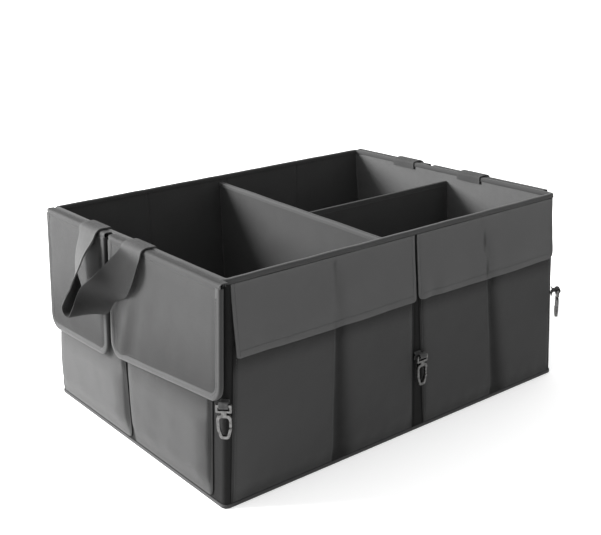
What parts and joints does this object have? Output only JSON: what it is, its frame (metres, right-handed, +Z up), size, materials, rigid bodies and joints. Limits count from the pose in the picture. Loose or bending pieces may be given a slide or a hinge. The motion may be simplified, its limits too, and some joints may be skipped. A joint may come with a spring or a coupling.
{
  "type": "car trunk organizer",
  "caption": "Folding fabric trunk organizer with stiffened walls, divided compartments, end flaps, outside pockets, carry handles and snap hooks",
  "frame": {"origin": "below the middle of the bounding box, at the height the organizer stands on", "axes": "+Z up, X along the length with the near end at -X, the pocketed front side at -Y"},
  "size_m": [0.7543, 0.4722, 0.3031],
  "materials": {
    "outer_fabric": "woven",
    "lining_fabric": "woven",
    "pocket_fabric": "woven",
    "flap_fabric": "woven",
    "binding_tape": "ribbed tape",
    "webbing": "ribbed webbing",
    "stiffener_board": "plain",
    "hook_metal": "satin"
  },
  "bodies": {
    "tub": {"outer_shell": "outer_fabric", "lining": "lining_fabric", "rim_binding": "binding_tape", "foot_binding": "binding_tape", "front_board_1": "stiffener_board", "back_board_1": "stiffener_board", "front_board_2": "stiffener_board", "back_board_2": "stiffener_board", "front_board_3": "stiffener_board", "back_board_3": "stiffener_board", "front_board_4": "stiffener_board", "back_board_4": "stiffener_board", "near_end_board": "stiffener_board", "far_end_board": "stiffener_board", "near_floor_board": "stiffener_board", "far_floor_board": "stiffener_board", "cross_divider_sleeve": "lining_fabric", "cross_divider_board": "stiffener_board", "cross_divider_binding": "binding_tape", "long_divider_sleeve": "lining_fabric", "long_divider_board": "stiffener_board", "near_rear_pocket": "pocket_fabric", "near_front_pocket": "pocket_fabric", "near_rear_strap_end": "webbing", "near_front_strap_end": "webbing", "far_rear_pocket": "pocket_fabric", "far_front_pocket": "pocket_fabric", "far_rear_strap_end": "webbing", "far_front_strap_end": "webbing", "near_front_pockets": "pocket_fabric", "far_front_pockets": "pocket_fabric", "near_hook_tab": "webbing", "middle_hook_tab": "webbing", "far_hook_tab": "webbing"},
    "near_front_flap_body": {"near_front_flap": "flap_fabric", "near_front_flap_board": "stiffener_board", "near_front_flap_binding": "binding_tape"},
    "near_rear_flap_body": {"near_rear_flap": "flap_fabric", "near_rear_flap_board": "stiffener_board", "near_rear_flap_binding": "binding_tape"},
    "near_handle_body": {"near_handle": "webbing"},
    "near_cover_body": {"near_cover": "outer_fabric"},
    "far_front_flap_body": {"far_front_flap": "flap_fabric", "far_front_flap_board": "stiffener_board", "far_front_flap_binding": "binding_tape"},
    "far_rear_flap_body": {"far_rear_flap": "flap_fabric", "far_rear_flap_board": "stiffener_board", "far_rear_flap_binding": "binding_tape"},
    "far_handle_body": {"far_handle": "webbing"},
    "far_cover_body": {"far_cover": "outer_fabric"},
    "near_hook_body": {"near_hook": "hook_metal"},
    "near_hook_gate_body": {"near_hook_gate": "hook_metal"},
    "middle_hook_body": {"middle_hook": "hook_metal"},
    "middle_hook_gate_body": {"middle_hook_gate": "hook_metal"},
    "far_hook_body": {"far_hook": "hook_metal"},
    "far_hook_gate_body": {"far_hook_gate": "hook_metal"}
  },
  "joints": [
    {"name": "near_front_flap_lift", "type": "hinge", "parent": "tub", "child": "near_front_flap_body", "pos_m": [-0.3038, 0.007, 0.30285], "axis": [0, 1, 0], "range_deg": [0, 170]},
    {"name": "near_rear_flap_lift", "type": "hinge", "parent": "tub", "child": "near_rear_flap_body", "pos_m": [-0.3038, 0.007, 0.30285], "axis": [0, 1, 0], "range_deg": [0, 170]},
    {"name": "near_handle_lift", "type": "hinge", "parent": "tub", "child": "near_handle_body", "pos_m": [-0.3038, 0.007, 0.30285], "axis": [0, 1, 0], "range_deg": [0, 170]},
    {"name": "far_front_flap_lift", "type": "hinge", "parent": "tub", "child": "far_front_flap_body", "pos_m": [0.3038, 0.007, 0.30285], "axis": [0, -1, 0], "range_deg": [0, 170]},
    {"name": "far_rear_flap_lift", "type": "hinge", "parent": "tub", "child": "far_rear_flap_body", "pos_m": [0.3038, 0.007, 0.30285], "axis": [0, -1, 0], "range_deg": [0, 170]},
    {"name": "far_handle_lift", "type": "hinge", "parent": "tub", "child": "far_handle_body", "pos_m": [0.3038, 0.007, 0.30285], "axis": [0, -1, 0], "range_deg": [0, 170]},
    {"name": "near_cover_lift", "type": "hinge", "parent": "tub", "child": "near_cover_body", "pos_m": [0, -0.2236, 0.2925], "axis": [-1, 0, 0], "range_deg": [0, 135]},
    {"name": "far_cover_lift", "type": "hinge", "parent": "tub", "child": "far_cover_body", "pos_m": [0, -0.2236, 0.2925], "axis": [-1, 0, 0], "range_deg": [0, 135]},
    {"name": "near_hook_swing", "type": "hinge", "parent": "tub", "child": "near_hook_body", "pos_m": [-0.31677, -0.22608, 0.145], "axis": [-0.7071, 0.7071, 0], "range_deg": [0, 100]},
    {"name": "near_hook_gate_press", "type": "hinge", "parent": "near_hook_body", "child": "near_hook_gate_body", "pos_m": [-0.3114, -0.23145, 0.1167], "axis": [-0.7071, -0.7071, 0], "range_deg": [0, 25], "stiffness_Nm_per_rad": 0.02, "springref_deg": -5.73},
    {"name": "middle_hook_swing", "type": "hinge", "parent": "tub", "child": "middle_hook_body", "pos_m": [0.013, -0.2315, 0.118], "axis": [-1, 0, 0], "range_deg": [0, 100]},
    {"name": "middle_hook_gate_press", "type": "hinge", "parent": "middle_hook_body", "child": "middle_hook_gate_body", "pos_m": [0.0206, -0.2315, 0.0897], "axis": [0, -1, 0], "range_deg": [0, 25], "stiffness_Nm_per_rad": 0.02, "springref_deg": -5.73},
    {"name": "far_hook_swing", "type": "hinge", "parent": "tub", "child": "far_hook_body", "pos_m": [0.31694, -0.22608, 0.142], "axis": [-0.7071, -0.7071, 0], "range_deg": [0, 100]},
    {"name": "far_hook_gate_press", "type": "hinge", "parent": "far_hook_body", "child": "far_hook_gate_body", "pos_m": [0.32231, -0.22071, 0.1137], "axis": [0.7071, -0.7071, 0], "range_deg": [0, 25], "stiffness_Nm_per_rad": 0.02, "springref_deg": -5.73}
  ],
  "couplings": [
    {"joint": "near_rear_flap_lift", "follows": "near_front_flap_lift", "ratio": 1},
    {"joint": "near_handle_lift", "follows": "near_front_flap_lift", "ratio": 1},
    {"joint": "far_rear_flap_lift", "follows": "far_front_flap_lift", "ratio": 1},
    {"joint": "far_handle_lift", "follows": "far_front_flap_lift", "ratio": 1}
  ]
}
